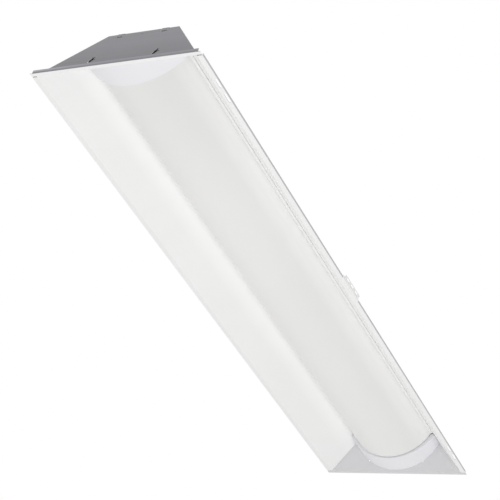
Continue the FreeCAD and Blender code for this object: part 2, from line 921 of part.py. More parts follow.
def make_hinge_pins():
    body = new_body("hinge_pins")
    for _, end in ENDS:
        add_prism(body, "y", end * (lens_half - dim.pin_grip),
                  end * (bracket_start + dim.ear_thickness + 2),
                  circle(-hinge_x, dim.hinge_height, dim.pin_radius))
    return body


def make_hinge_bracket(name, end):
    """Bracket under the tray whose ear carries a hinge pin."""
    body = new_body(name + "_hinge_bracket")
    low = tray_low - steel
    outer = bracket_outer()
    reach = dim.ear_radius * 0.7
    add_prism(body, "z", low, tray_low, rectangle(
        -dim.bracket_inner_half, -outer,
        end * bracket_start, end * (bracket_start + dim.bracket_length)))
    finish = bracket_start + dim.ear_thickness
    web = outline(
        (-dim.bracket_inner_half, tray_low - steel / 2),
        (-outer + 2 * steel, tray_low - steel / 2),
        (-hinge_x - reach, dim.hinge_height + reach),
        (-hinge_x + reach, dim.hinge_height - reach),
        (-dim.bracket_inner_half - 4, low - 4))
    add_prism(body, "y", end * bracket_start, end * finish, web)
    add_prism(body, "y", end * bracket_start, end * finish,
              circle(-hinge_x, dim.hinge_height, dim.ear_radius))
    cut_prism(body, "y", end * (bracket_start - 0.5), end * (finish + 0.5),
              circle(-hinge_x, dim.hinge_height, dim.pin_radius + dim.pin_clearance))
    cut_prism(body, "z", low - 1, tray_low + 1,
              circle(-bracket_screw_x(), end * hinge_screw_y(), screw_hole))
    return body


def bracket_outer():
    return tray_half - steel / 2


def bracket_screw_x():
    return dim.bracket_inner_half + dim.bracket_screw_inset


def hinge_screw_y():
    return bracket_start + dim.bracket_length / 2 + 2


def catch_y():
    return lens_half - dim.catch_setback


def rail_point(along, off):
    """A point beside the right rail: along the lens from the bead, and off its outer face."""
    along, off = as_size(along), as_size(off)
    return (hinge_x - along * edge_cosine - off * edge_sine,
            dim.hinge_height - along * edge_sine + off * edge_cosine)


def rail_back():
    """How far the outer face of a rail's upper jaw stands off the lens's outer face."""
    return dim.lens_thickness + dim.groove_clearance + dim.jaw_wall


def strip(near_off, far_off):
    """Section of a strip that lies along the right rail's back."""
    start = dim.catch_start
    finish = start + dim.catch_reach
    return outline(rail_point(start, near_off), rail_point(finish, near_off),
                   rail_point(finish, far_off), rail_point(start, far_off))


def keeper_back():
    return rail_back() + dim.keeper_thickness


def magnet_back():
    return keeper_back() + dim.magnet_gap + dim.magnet_thickness


def make_door_catches():
    """Magnetic catches: two fixed bodies with magnets, and the steel keepers on the rail."""
    catches = new_body("door_catches")
    magnets = new_body("catch_magnets")
    keepers = new_body("catch_keepers")
    start = dim.catch_start
    finish = start + dim.catch_reach
    section = outline(
        (dim.bracket_inner_half, tray_low),
        (dim.bracket_inner_half, tray_low - dim.catch_depth),
        rail_point(finish, magnet_back()),
        rail_point(start, magnet_back()),
        (bracket_outer(), tray_low))
    holes = []
    for _, end in ENDS:
        middle = end * catch_y()
        half = dim.catch_length / 2
        add_prism(catches, "y", middle - half, middle + half, section)
        holes.append(circle(bracket_screw_x(), middle, screw_hole))
        half = dim.keeper_length / 2
        add_prism(magnets, "y", middle - half, middle + half,
                  strip(keeper_back() + dim.magnet_gap, magnet_back()))
        add_prism(keepers, "y", middle - half, middle + half, strip(rail_back(), keeper_back()))
    cut_prism(catches, "z", tray_low - dim.screw_length, tray_low + 1, *holes)


# ---------------------------------------------------------------- tray and LED boards

def make_led_tray():
    body = new_body("led_tray")
    outer = tray_half
    high = tray_top + dim.tray_flange
    add_prism(body, "y", -half_length, half_length, outline(
        (outer, tray_low), (outer, high), (outer - steel, high),
        (outer - steel, tray_top), (-outer + steel, tray_top), (-outer + steel, high),
        (-outer, high), (-outer, tray_low)))
    cut_prism(body, "x", -half_width, half_width,
              *end_cuts(dim.seat_gap, tray_low - 1, high + 1))
    floor = [circle(dim.bushing_x, bushing_y, dim.bushing_radius)]
    floor += [circle(x, y, screw_hole) for _, side in SIDES for x, y in tray_screw_places(side)]
    floor.append(circle(dim.ground_x, ground_y, screw_hole))
    floor += [circle(dim.driver_x, driver_screw_y(end), screw_hole) for end in DRIVER_ENDS]
    floor += [circle(x, y, screw_hole) for x, y in bracket_screw_places()]
    floor += [circle(x, y, screw_hole) for x, y in board_screw_places()]
    cut_prism(body, "z", tray_low - 1, tray_top + 1, *floor)
    return body


def bracket_screw_places():
    """Screws of the hinge brackets on the left and of the door catches on the right."""
    places = []
    for _, end in ENDS:
        places.append((-bracket_screw_x(), end * hinge_screw_y()))
        places.append((bracket_screw_x(), end * catch_y()))
    return places


def board_screw_places():
    x = dim.board_width / 2 - 4
    places = []
    for _, end in ENDS:
        for share in (0.06, 0.5, 0.94):
            y = end * (dim.board_spacing / 2 + share * dim.board_length)
            places.append((x, y))
    return places


def make_led_board(name, end):
    body = new_body(name + "_led_board")
    inner = dim.board_spacing / 2
    half = dim.board_width / 2
    add_prism(body, "z", board_low, tray_low, rectangle(
        -half, half, end * inner, end * (inner + dim.board_length)))
    holes = [circle(x, y, screw_hole) for x, y in board_screw_places() if y.value * end > 0]
    cut_prism(body, "z", board_low - 1, tray_low + 1, *holes)
    return body


def make_leds(name, end):
    """A row of LED packages on a board's underside."""
    body = new_body(name + "_board_leds")
    first = dim.board_spacing / 2 + dim.led_pitch
    half = dim.led_width / 2
    pad = add_prism(body, "z", board_low - dim.led_height, board_low, rectangle(
        -half, half, end * first, end * (first + dim.led_length)))
    pattern = body.newObject("PartDesign::LinearPattern", name + "_led_row")
    pattern.Originals = [pad]
    pattern.Direction = (pad.Profile[0], ["V_Axis"])
    pattern.Reversed = end < 0
    run = dim.led_pitch * (dim.led_count - 1)
    pattern.Length = run.value
    pattern.setExpression("Length", run.text)
    pattern.Occurrences = int(dim.led_count.value)
    pattern.setExpression("Occurrences", dim.led_count.text)
    body.Tip = pattern
    return body


def connector_places():
    """Board connectors: one beside the bushing, and one each side of the board joint."""
    x = -dim.board_width / 2 + dim.connector_width / 2 + 1
    joint = dim.board_spacing / 2 + 1.5 * dim.led_pitch
    return [(x, bushing_y), (x, -joint), (x, joint)]


def make_board_connectors():
    body = new_body("board_connectors")
    low = board_low - dim.connector_height
    shapes = [rectangle(x - dim.connector_width / 2, x + dim.connector_width / 2,
                        y - dim.connector_length / 2, y + dim.connector_length / 2)
              for x, y in connector_places()]
    add_prism(body, "z", low, board_low, *shapes)
    return body


# ---------------------------------------------------------------- driver

def driver_screw_y(end):
    middle = (driver_start + dim.driver_end) / 2
    return middle + end * (dim.driver_length / 2 + dim.driver_ear / 2)


def across_driver(half):
    """The two X limits of something centred on the driver."""
    return dim.driver_x - half, dim.driver_x + half


def driver_middle():
    return (driver_start + dim.driver_end) / 2


def make_driver_base():
    body = new_body("driver_base")
    add_prism(body, "z", tray_top, tray_top + dim.driver_wall, rectangle(
        *across_driver(dim.driver_width / 2),
        driver_start - dim.driver_ear, dim.driver_end + dim.driver_ear))
    cut_prism(body, "z", tray_top - 1, tray_top + dim.driver_wall + 1,
              *[circle(dim.driver_x, driver_screw_y(end), screw_hole) for end in DRIVER_ENDS])
    return body


def make_driver_case():
    body = new_body("driver_case")
    half = dim.driver_width / 2
    wall = dim.driver_wall
    low = driver_low
    high = low + driver_height
    add_prism(body, "z", low, high, rectangle(
        *across_driver(half), driver_start, dim.driver_end))
    cut_prism(body, "z", low - 1, high - wall, rectangle(
        *across_driver(half - wall), driver_start + wall, dim.driver_end - wall))
    hole = dim.wire_radius + dim.pin_clearance
    wires = [circle(dim.driver_x + side * dim.wire_spread, wire_level(), hole)
             for _, side in SIDES]
    cut_prism(body, "y", driver_start - 1, driver_start + wall + 1, *wires)
    cut_prism(body, "y", dim.driver_end - wall - 1, dim.driver_end + 1,
              *(wires + [circle(dim.driver_x, wire_level(), hole)]))
    return body


def wire_level():
    return tray_top + dim.wire_height


def make_driver_board():
    body = new_body("driver_board")
    half = dim.driver_width / 2 - dim.driver_wall - dim.driver_board_margin
    low = driver_low
    middle = driver_middle()
    reach = dim.driver_board_length / 2
    board = low + dim.driver_board_height
    add_prism(body, "z", board, board + dim.board_thickness,
              rectangle(*across_driver(half), middle - reach, middle + reach))
    post = dim.driver_post_radius
    posts = [circle(dim.driver_x + side * (half - 2 * post), middle + end * (reach - 3 * post), post)
             for _, side in SIDES for _, end in ENDS]
    add_prism(body, "z", low, board + dim.board_thickness / 2, *posts)
    return body


def make_driver_transformer():
    """Bobbin with its pins' flange, the wound core and the top flange."""
    body = new_body("driver_transformer")
    low = driver_board_top
    middle = driver_middle()
    half_x = dim.transformer_width / 2
    half_y = dim.transformer_length / 2
    neck = dim.transformer_neck
    core = low + dim.transformer_flange
    top = core + transformer_core
    for start, finish, shy in ((low, core, 0 * neck), (core, top, neck),
                               (top, top + dim.transformer_flange / 2, neck / 3)):
        add_prism(body, "z", start, finish, rectangle(
            *across_driver(half_x - shy), middle - half_y + shy, middle + half_y - shy))
    return body


def make_driver_capacitors():
    body = new_body("driver_capacitors")
    low = driver_board_top
    cans = [circle(dim.driver_x, driver_middle() + offset, dim.capacitor_radius)
            for offset in (dim.capacitor_near_y, dim.capacitor_next_y, dim.capacitor_far_y)]
    add_prism(body, "z", low, low + capacitor_height, *cans)
    return body


# ---------------------------------------------------------------- wiring

def tube(label, points):
    """A wire along straight runs joined by arcs, as large as the runs allow."""
    radius = dim.wire_radius.value
    corners = [Vector(*[as_size(value).value for value in point]) for point in points]
    edges = []
    here = corners[0]
    tightest = None
    for before, corner, after in zip(corners, corners[1:], corners[2:]):
        into = (corner - before).normalize()
        out = (after - corner).normalize()
        turn = into.getAngle(out)
        back = 0.45 * min((corner - before).Length, (after - corner).Length)
        bend = back / math.tan(turn / 2)
        tightest = bend if tightest is None else min(tightest, bend)
        start = corner - into * back
        finish = corner + out * back
        inward = (out - into).normalize()
        centre = corner + inward * (back / math.sin(turn / 2))
        middle = centre - inward * bend
        middle = centre + (corner - centre).normalize() * bend
        edges.append(Part.LineSegment(here, start).toShape())
        edges.append(Part.Arc(start, middle, finish).toShape())
        here = finish
    edges.append(Part.LineSegment(here, corners[-1]).toShape())
    path = Part.Wire(edges)
    direction = (corners[1] - corners[0]).normalize()
    section = Part.Wire([Part.makeCircle(radius, corners[0], direction)])
    shape = path.makePipeShell([section], True, False)
    expected = math.pi * radius * radius * path.Length
    print("%s: %.0f mm long, tightest bend %.1f mm, volume share %.3f"
          % (label, path.Length, tightest, shape.Volume / expected))
    feature = doc.addObject("Part::Feature", label)
    feature.Label = label
    feature.Shape = shape
    made.append(feature)
    return feature


def make_supply_wires():
    """Line and neutral, from the driver case to the disconnect; ground, to its screw."""
    level = wire_level()
    start = dim.driver_end - dim.driver_wall
    end = plug_start
    span = end - start
    mouth = tray_top + dim.seat_gap + dim.disconnect_height / 2
    plug_quarter = dim.disconnect_width / 4
    for label, x, plug_x, bow in (
            ("supply_wire_line", dim.driver_x - dim.wire_spread,
             dim.disconnect_x - plug_quarter, -4),
            ("supply_wire_neutral", dim.driver_x, dim.disconnect_x + plug_quarter, 1)):
        tube(label, [
            (x, start, level),
            (x, start + span * 0.22, level),
            (x + bow, start + span * 0.46, level + 4),
            ((x + plug_x) / 2, start + span * 0.68, level + 2),
            (plug_x, end - span * 0.13, mouth),
            (plug_x, end, mouth)])
    x = dim.driver_x + dim.wire_spread
    seat = tray_top + dim.wire_radius + 0.1
    span = ground_y - start
    tube("supply_wire_ground", [
        (x, start, level),
        (x, start + span * 0.19, level),
        (x / 2, start + span * 0.39, level + 2),
        (dim.ground_x - 6, start + span * 0.53, level - 2),
        (dim.ground_x, start + span * 0.77, seat),
        (dim.ground_x, ground_y - dim.screw_head_radius - 0.2, seat)])


def make_led_wires():
    """Positive and negative, from the driver case down through the bushing to the board."""
    level = wire_level()
    start = driver_start + dim.driver_wall
    x_end, y_end = connector_places()[0]
    face = x_end - dim.connector_width / 2
    mouth = board_low - dim.connector_height / 2
    for label, side in (("led_wire_positive", -1), ("led_wire_negative", 1)):
        x = dim.driver_x + side * dim.wire_spread
        drop_x = dim.bushing_x + side * dim.wire_pair_x
        y = y_end - side * dim.wire_pair_y
        tube(label, [
            (x, start, level),
            (x, start - 20, level),
            (drop_x, start - 40 + side * 3, level),
            (drop_x, y, level),
            (drop_x, y, mouth),
            (face, y, mouth)])


def make_wire_bushing():
    body = new_body("wire_bushing")
    place = (dim.bushing_x, bushing_y)
    lip = dim.bushing_flange
    body_radius = dim.bushing_radius - 0.1
    add_prism(body, "z", tray_low - lip, tray_top + lip, circle(*place, body_radius))
    add_prism(body, "z", tray_top, tray_top + lip, circle(*place, dim.bushing_radius + lip))
    add_prism(body, "z", tray_low - lip, tray_low,
              circle(*place, dim.bushing_radius + lip * 0.7))
    cut_prism(body, "z", tray_low - 5, tray_top + 5, circle(*place, dim.bushing_bore))
    return body


def make_disconnect():
    low = tray_top + dim.seat_gap
    high = low + dim.disconnect_height
    half = dim.disconnect_width / 2
    x = dim.disconnect_x
    plug = new_body("disconnect_plug")
    joint = plug_start + dim.plug_length
    add_prism(plug, "z", low, high, rectangle(x - half, x + half, plug_start, joint))
    socket = new_body("disconnect_socket")
    add_prism(socket, "z", low, high + 1, rectangle(
        x - half - 1, x + half + 1, joint, joint + dim.socket_length))
    entries = [circle(x + side * half / 2, (low + high) / 2, 1.9) for _, side in SIDES]
    cut_prism(socket, "y", joint + dim.socket_length - 12, joint + dim.socket_length + 1, *entries)
    return plug, socket


# ---------------------------------------------------------------- access plate

def make_access_plate():
    body = new_body("access_plate")
    low = dim.housing_height
    high = low + steel
    hinge = access_hinge_y
    half = dim.access_half_width
    start = hinge + dim.access_setback
    add_prism(body, "z", low, high, rectangle(-half, half, start, hinge + dim.access_length))
    places = knockout_places()
    holes = [circle(0, access_screw_y(), screw_hole)]
    holes.append(circle(*places[0], dim.knockout_radius))
    for x, y in places[1:]:
        holes += knockout_ring(x, y)
    cut_prism(body, "z", low - 1, high + 1, *holes)
    axis = low - steel / 2
    for _, side in SIDES:
        place = side * dim.tongue_half_spacing
        neck = dim.neck_width / 2
        head = dim.head_width / 2
        add_prism(body, "z", low, high, rectangle(
            place - neck, place + neck, hinge - steel / 2, start + 0.5))
        add_prism(body, "z", axis - dim.head_start, low, rectangle(
            place - neck, place + neck, hinge - steel / 2, hinge + steel / 2))
        add_prism(body, "z", axis - dim.head_start - dim.head_length, axis - dim.head_start,
                  rectangle(place - head, place + head, hinge - steel / 2, hinge + steel / 2))
    return body


def knockout_places():
    """The first knockout is open; the others keep their slugs on two ties."""
    return [
        (-dim.knockout_x, access_hinge_y + dim.knockout_y),
        (dim.knockout_x, access_hinge_y + dim.knockout_y),
        (as_size(0), access_hinge_y + dim.knockout_rear_y),
    ]


def knockout_ring(x, y):
    """Two curved slits round a slug, left apart by its ties."""
    outer = dim.knockout_radius
    inner = outer - dim.knockout_ring
    tie = dim.knockout_tie / 2
    reach_out = root(outer * outer - tie * tie)
    reach_in = root(inner * inner - tie * tie)
    return [outline(
        (x + flank * reach_out, y + flank * tie, outer),
        (x - flank * reach_out, y + flank * tie),
        (x - flank * reach_in, y + flank * tie, -inner),
        (x + flank * reach_in, y + flank * tie)) for flank in (-1, 1)]


# ---------------------------------------------------------------- grid clips

def make_tbar_clip(name, side):
    """Perforated leaf that folds out over the ceiling grid on two necks."""
    body = new_body(name + "_tbar_clip")
    half = dim.clip_length / 2
    middle = dim.clip_centre_y
    low = dim.clip_start
    high = low + dim.clip_height
    post = (dim.clip_length - 3 * dim.clip_window_length) / 4
    rail = (dim.clip_height - dim.clip_window_height) / 2
    shapes = [rectangle(middle - half, middle + half, low, high)]
    for window in range(3):
        start = middle - half + post + window * (dim.clip_window_length + post)
        shapes.append(rectangle(start, start + dim.clip_window_length, low + rail, high - rail))
    add_prism(body, "x", -steel / 2, steel / 2, *shapes)
    neck = dim.neck_width / 2
    head = dim.head_width / 2
    for place in clip_neck_places():
        add_prism(body, "x", -steel / 2, steel / 2, rectangle(
            place - neck, place + neck, -dim.head_start, low + 0.5))
        add_prism(body, "x", -steel / 2, steel / 2, rectangle(
            place - head, place + head, -dim.head_start - dim.head_length, -dim.head_start))
    place_body(body, side * clip_axis_x, as_size(0), dim.clip_axis_height, side * dim.clip_lean)
    return body


# ---------------------------------------------------------------- screws

def make_screws(label, axis, places):
    """Screws along an axis: (across, along, seat, direction); direction points from head to tip."""
    body = new_body(label)
    for across, along, seat, direction in places:
        seat = as_size(seat)
        add_prism(body, axis, seat, seat - direction * dim.screw_head_height,
                  circle(across, along, dim.screw_head_radius))
        add_prism(body, axis, seat - direction * 0.5, seat + direction * dim.screw_length,
                  circle(across, along, dim.screw_radius))
    return body


def make_all_screws():
    make_screws("tray_screws", "z", [
        (x, y, tray_top, -1) for _, side in SIDES for x, y in tray_screw_places(side)])
    top = dim.housing_height + steel
    for name, end in ENDS:
        make_screws(name + "_plate_screws", "z", [
            (side * dim.top_tab_half_spacing, end * top_screw_y(), top, -1) for _, side in SIDES])
    make_screws("bracket_screws", "z", [(x, y, tray_top, -1) for x, y in bracket_screw_places()])
    make_screws("board_screws", "z", [(x, y, board_low, 1) for x, y in board_screw_places()])
    make_screws("driver_screws", "z", [
        (dim.driver_x, driver_screw_y(end), tray_top + dim.driver_wall, -1)
        for end in DRIVER_ENDS])
    make_screws("ground_screw", "z", [(dim.ground_x, ground_y, tray_top, -1)])
    make_screws("access_screw", "z", [(0, access_screw_y(), dim.housing_height + steel, -1)])


# ---------------------------------------------------------------- build

def build():
    make_back_pan()
    for name, side in SIDES:
        make_reflector(name, side)
        make_lens_rail(name, side)
        make_tbar_clip(name, side)
    for name, end in ENDS:
        make_end_plate(name, end)
        make_end_band(name, end)
        make_led_board(name, end)
        make_leds(name, end)
        make_hinge_bracket(name, end)
    make_lens()
    make_hinge_pins()
    make_door_catches()
    make_led_tray()
    make_board_connectors()
    make_driver_base()
    make_driver_case()
    make_driver_board()
    make_driver_transformer()
    make_driver_capacitors()
    make_supply_wires()
    make_led_wires()
    make_wire_bushing()
    make_disconnect()
    make_access_plate()
    make_all_screws()
    doc.recompute()


def check():
    """Stops with a message if any object of the document failed."""
    for thing in doc.Objects:
        if "Invalid" in thing.State or "Error" in thing.State:
            raise ValueError("%s did not build: %s" % (thing.Label, thing.State))
    for piece in made:
        if piece.Shape.isNull() or not piece.Shape.isValid():
            raise ValueError("%s has no valid shape" % piece.Label)


def write():
    os.makedirs("parts", exist_ok=True)
    for piece in made:
        piece.Shape.exportStep("parts/%s.step" % piece.Label)
    print("%d nodes written" % len(made))


build()
check()
write()
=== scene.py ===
import json

import bpy
from mathutils import Matrix, Vector


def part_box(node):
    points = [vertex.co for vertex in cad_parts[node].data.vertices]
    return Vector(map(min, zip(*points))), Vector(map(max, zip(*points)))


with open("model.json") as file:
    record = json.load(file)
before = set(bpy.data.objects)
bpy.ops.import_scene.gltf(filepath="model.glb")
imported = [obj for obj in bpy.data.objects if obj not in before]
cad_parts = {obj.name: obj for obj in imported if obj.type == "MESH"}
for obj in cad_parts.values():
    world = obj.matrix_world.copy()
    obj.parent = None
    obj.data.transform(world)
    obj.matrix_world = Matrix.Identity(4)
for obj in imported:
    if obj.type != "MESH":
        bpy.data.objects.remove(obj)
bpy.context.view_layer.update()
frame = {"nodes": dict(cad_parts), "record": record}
nodes = frame["nodes"]
scene = bpy.context.scene


# ------------------------------------------------------------ sizes, in metres

LENS_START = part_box("lens")[0].y
LENS_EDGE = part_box("lens")[1].x
FACE_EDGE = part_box("right_reflector")[1].x
FLANGE_WIDTH = 0.009
FLANGE_FOLD = FACE_EDGE - FLANGE_WIDTH
CLIP_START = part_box("right_tbar_clip")[0].y
CLIP_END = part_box("right_tbar_clip")[1].y
CLIP_MIDDLE = (CLIP_START + CLIP_END) / 2
PAINT_REACH = (CLIP_END - CLIP_START) / 2 + 0.0026   # the lip's paint ends past the clip's
LED_PITCH = 0.015
LED_LENGTH = 0.0035
FIRST_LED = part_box("far_board_leds")[0].y + LED_LENGTH / 2
WINDING_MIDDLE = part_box("driver_transformer")[1].z - 0.008


# ------------------------------------------------------------ material helpers

class Nodes:
    """A short way to write one material's node tree."""

    def __init__(self, name):
        self.material = bpy.data.materials.new(name)
        self.material.use_nodes = True
        self.tree = self.material.node_tree
        self.shader = self.tree.nodes["Principled BSDF"]
        self.place = self.new("ShaderNodeTexCoord").outputs["Object"]

    def new(self, kind, **settings):
        node = self.tree.nodes.new(kind)
        for key, value in settings.items():
            setattr(node, key, value)
        return node

    def link(self, source, target):
        self.tree.links.new(source, target)

    def put(self, socket, value):
        """Links a socket, or sets its value."""
        if isinstance(value, bpy.types.NodeSocket):
            self.link(value, socket)
        else:
            socket.default_value = value

    def set(self, **inputs):
        """Sets inputs of the shader; an underscore stands for a space in a name."""
        for key, value in inputs.items():
            self.put(self.shader.inputs[key.replace("_", " ")], value)

    def stretch(self, x, y, z):
        """Object coordinates scaled along each axis."""
        node = self.new("ShaderNodeMapping")
        self.link(self.place, node.inputs["Vector"])
        node.inputs["Scale"].default_value = (x, y, z)
        return node.outputs["Vector"]

    def noise(self, scale, detail=3.0, rough=0.5, where=None):
        node = self.new("ShaderNodeTexNoise")
        node.inputs["Scale"].default_value = scale
        node.inputs["Detail"].default_value = detail
        node.inputs["Roughness"].default_value = rough
        self.link(where or self.place, node.inputs["Vector"])
        return node.outputs["Fac"]

    def cells(self, scale):
        """One random number for each cell."""
        node = self.new("ShaderNodeTexVoronoi")
        node.inputs["Scale"].default_value = scale
        self.link(self.place, node.inputs["Vector"])
        parts = self.new("ShaderNodeSeparateColor")
        self.link(node.outputs["Color"], parts.inputs["Color"])
        return parts.outputs["Red"]

    def spread(self, value, low, high, to_low=0.0, to_high=1.0):
        """Maps low to to_low and high to to_high, and holds still outside."""
        node = self.new("ShaderNodeMapRange")
        for key, number in (("From Min", low), ("From Max", high),
                            ("To Min", to_low), ("To Max", to_high)):
            node.inputs[key].default_value = number
        self.link(value, node.inputs["Value"])
        return node.outputs["Result"]

    def math(self, operation, first, second=0.0):
        node = self.new("ShaderNodeMath", operation=operation)
        self.put(node.inputs[0], first)
        self.put(node.inputs[1], second)
        return node.outputs["Value"]

    def add(self, first, second):
        return self.math("ADD", first, second)

    def times(self, first, second):
        return self.math("MULTIPLY", first, second)

    def below(self, value, limit):
        return self.math("LESS_THAN", value, limit)

    def above(self, value, limit):
        return self.math("GREATER_THAN", value, limit)

    def away(self, value, middle):
        """Distance from the middle, on either side."""
        return self.math("ABSOLUTE", self.math("SUBTRACT", value, middle))

    def blend(self, first, share, second, rest):
        """Weighted sum of two values."""
        return self.add(self.times(first, share), self.times(second, rest))

    def mix(self, factor, first, second):
        """The first colour at 0 and the second at 1."""
        node = self.new("ShaderNodeMix", data_type="RGBA")
        self.put(node.inputs["Factor"], factor)
        self.put(node.inputs[6], first)
        self.put(node.inputs[7], second)
        return node.outputs[2]

    def scaled(self, tint, factor):
        node = self.new("ShaderNodeVectorMath", operation="SCALE")
        self.link(tint, node.inputs["Vector"])
        self.put(node.inputs["Scale"], factor)
        return node.outputs["Vector"]

    def axis(self, name):
        node = self.new("ShaderNodeSeparateXYZ")
        self.link(self.place, node.inputs["Vector"])
        return node.outputs[name]

    def bump(self, height, strength, distance):
        node = self.new("ShaderNodeBump")
        node.inputs["Strength"].default_value = strength
        node.inputs["Distance"].default_value = distance
        self.link(height, node.inputs["Height"])
        self.link(node.outputs["Normal"], self.shader.inputs["Normal"])


def colour(red, green, blue):
    return (red, green, blue, 1.0)


# ------------------------------------------------------------ kinds of finish

def enamel(name, base, shade, rough=0.42):
    """Satin white paint: fine orange peel, faint cloudiness and a little dust."""
    m = Nodes(name)
    cloud = m.spread(m.noise(7.0, 4.0, 0.55), 0.35, 0.7)
    speck = m.spread(m.noise(900.0, 2.0, 0.5), 0.66, 0.74)
    dusty = m.mix(m.times(speck, 0.25), m.mix(cloud, base, shade), colour(0.62, 0.61, 0.58))
    m.set(Base_Color=dusty, Roughness=m.spread(cloud, 0.0, 1.0, rough - 0.05, rough + 0.06))
    m.set(Coat_Weight=0.15, Coat_Roughness=0.3)
    m.bump(m.noise(420.0, 2.0, 0.5), 0.12, 0.0004)
    return m.material


def galvanised(name, base, dark):
    """Zinc coated sheet: spangled grain, rolling streaks and dull blotches."""
    m = Nodes(name)
    spangle = m.cells(70.0)
    streak = m.noise(1.0, 4.0, 0.6, m.stretch(260.0, 4.0, 260.0))
    blotch = m.spread(m.noise(5.0, 4.0, 0.6), 0.38, 0.68)
    mixed = m.add(m.blend(spangle, 0.45, streak, 0.35), m.times(blotch, 0.2))
    m.set(Base_Color=m.mix(mixed, dark, base), Metallic=0.55,
          Roughness=m.spread(mixed, 0.2, 0.8, 0.5, 0.36))
    m.bump(streak, 0.1, 0.0003)
    return m.material


def painted_sheet(name, axis, outward, zincs, paints, painted_light_and_paint=None):
    """Sheet that is bare zinc on its outer and upper sides and painted on the others.

    outward is the sign of that axis that its outer side faces. zincs and paints are pairs of
    tones. The last argument gives a factor of painted light and shade for the zinc, one for
    the paint, and a mask that is 1 where the outer side is painted too."""
    m = Nodes(name)
    normal = m.new("ShaderNodeSeparateXYZ")
    m.link(m.new("ShaderNodeTexCoord").outputs["Normal"], normal.inputs["Vector"])
    facing = m.math("MAXIMUM", m.times(normal.outputs[axis], outward), normal.outputs["Z"])
    bare = m.above(facing, 0.2)
    streak = m.noise(1.0, 3.0, 0.6, m.stretch(4.0, 220.0, 220.0))
    cloud = m.spread(m.noise(9.0, 4.0, 0.55), 0.35, 0.7)
    zinc = m.mix(m.blend(streak, 0.5, cloud, 0.5), zincs[1], zincs[0])
    paint = m.mix(cloud, paints[0], paints[1])
    if painted_light_and_paint:
        # factors of painted light and shade, and the mask of paint on the outer side
        zinc_painted_light, paint_painted_light, kept = painted_light_and_paint(m)
        zinc = m.scaled(zinc, zinc_painted_light)
        paint = m.scaled(paint, paint_painted_light)
        bare = m.times(bare, m.math("SUBTRACT", 1.0, kept))
    m.set(Base_Color=m.mix(bare, paint, zinc), Metallic=m.times(bare, 0.25),
          Roughness=m.spread(streak, 0.3, 0.7, 0.42, 0.5))
    m.bump(m.noise(420.0, 2.0, 0.5), 0.1, 0.0004)
    return m.material


def plate_painted_shade(m):
    """Painted light and shade on the zinc: a little lighter with height, and along the lip a
    lighter band, lightest towards its left end, over a darker edge.
    """
    edge_top = 0.0036
    lit_band_top = 0.0085
    height = m.axis("Z")
    rise = m.spread(height, 0.01, 0.07, 0.87, 1.05)
    on_lit_band = m.times(m.below(height, lit_band_top), m.above(height, edge_top))
    lit_band = m.times(on_lit_band, m.spread(m.axis("X"), -0.14, -0.02, 1.15, 0.63))
    edge = m.times(m.below(height, edge_top), 0.34)
    return m.add(m.add(rise, lit_band), edge), 1.0, 0.0


def reflector_light_and_lip_paint(crease):
    """Painted light and shade on the paint: whiter towards the lens, by the factor crease at its
    side, where the crease lies in shade, and duller on the flange.

    The outer lip is painted beside the grid clip."""
    crease_start = LENS_EDGE + 0.0059
    crease_end = crease_start + 0.025
    fold = 0.0005

    def painted_light_and_paint(m):
        reach = m.math("ABSOLUTE", m.axis("X"))
        # painted light in the shaded crease beside the lens, painted shade on the flange
        white = m.times(m.spread(reach, crease_start, crease_end, crease, 1.0),
                        m.spread(reach, FLANGE_FOLD - fold, FLANGE_FOLD + fold, 1.0, 0.945))
        return 1.0, white, m.below(m.away(m.axis("Y"), CLIP_MIDDLE), PAINT_REACH)
    return painted_light_and_paint


def metal(name, base, dark, rough=0.3, length_axis="Y"):
    """Plated or drawn metal with fine lines along one axis."""
    m = Nodes(name)
    along, across = 8.0, 700.0
    scales = [along if axis == length_axis else across for axis in "XYZ"]
    line = m.noise(1.0, 3.0, 0.6, m.stretch(*scales))
    haze = m.noise(90.0, 3.0, 0.5)
    both = m.blend(line, 0.6, haze, 0.4)
    m.set(Base_Color=m.mix(m.spread(both, 0.3, 0.7), dark, base), Metallic=0.9,
          Roughness=m.spread(both, 0.3, 0.7, rough + 0.1, rough - 0.05))
    m.bump(line, 0.15, 0.0001)
    return m.material


def plastic(name, base, dark, rough=0.4):
    """Moulded plastic: fine spark texture and slight mould flow."""
    m = Nodes(name)
    flow = m.spread(m.noise(60.0, 3.0, 0.55), 0.35, 0.65)
    texture = m.noise(1500.0, 2.0, 0.5)
    m.set(Base_Color=m.mix(flow, dark, base),
          Roughness=m.spread(texture, 0.3, 0.7, rough - 0.06, rough + 0.08))
    m.bump(texture, 0.3, 0.00008)
    return m.material


def insulation(name, base, dark):
    """Wire insulation, slightly waxy."""
    m = Nodes(name)
    scuff = m.noise(400.0, 3.0, 0.6)
    m.set(Base_Color=m.mix(m.spread(scuff, 0.3, 0.7), dark, base),
          Roughness=m.spread(scuff, 0.3, 0.7, 0.32, 0.48), Coat_Weight=0.1, Coat_Roughness=0.3)
    m.bump(scuff, 0.1, 0.0001)
    return m.material


# ------------------------------------------------------------ finishes of one piece

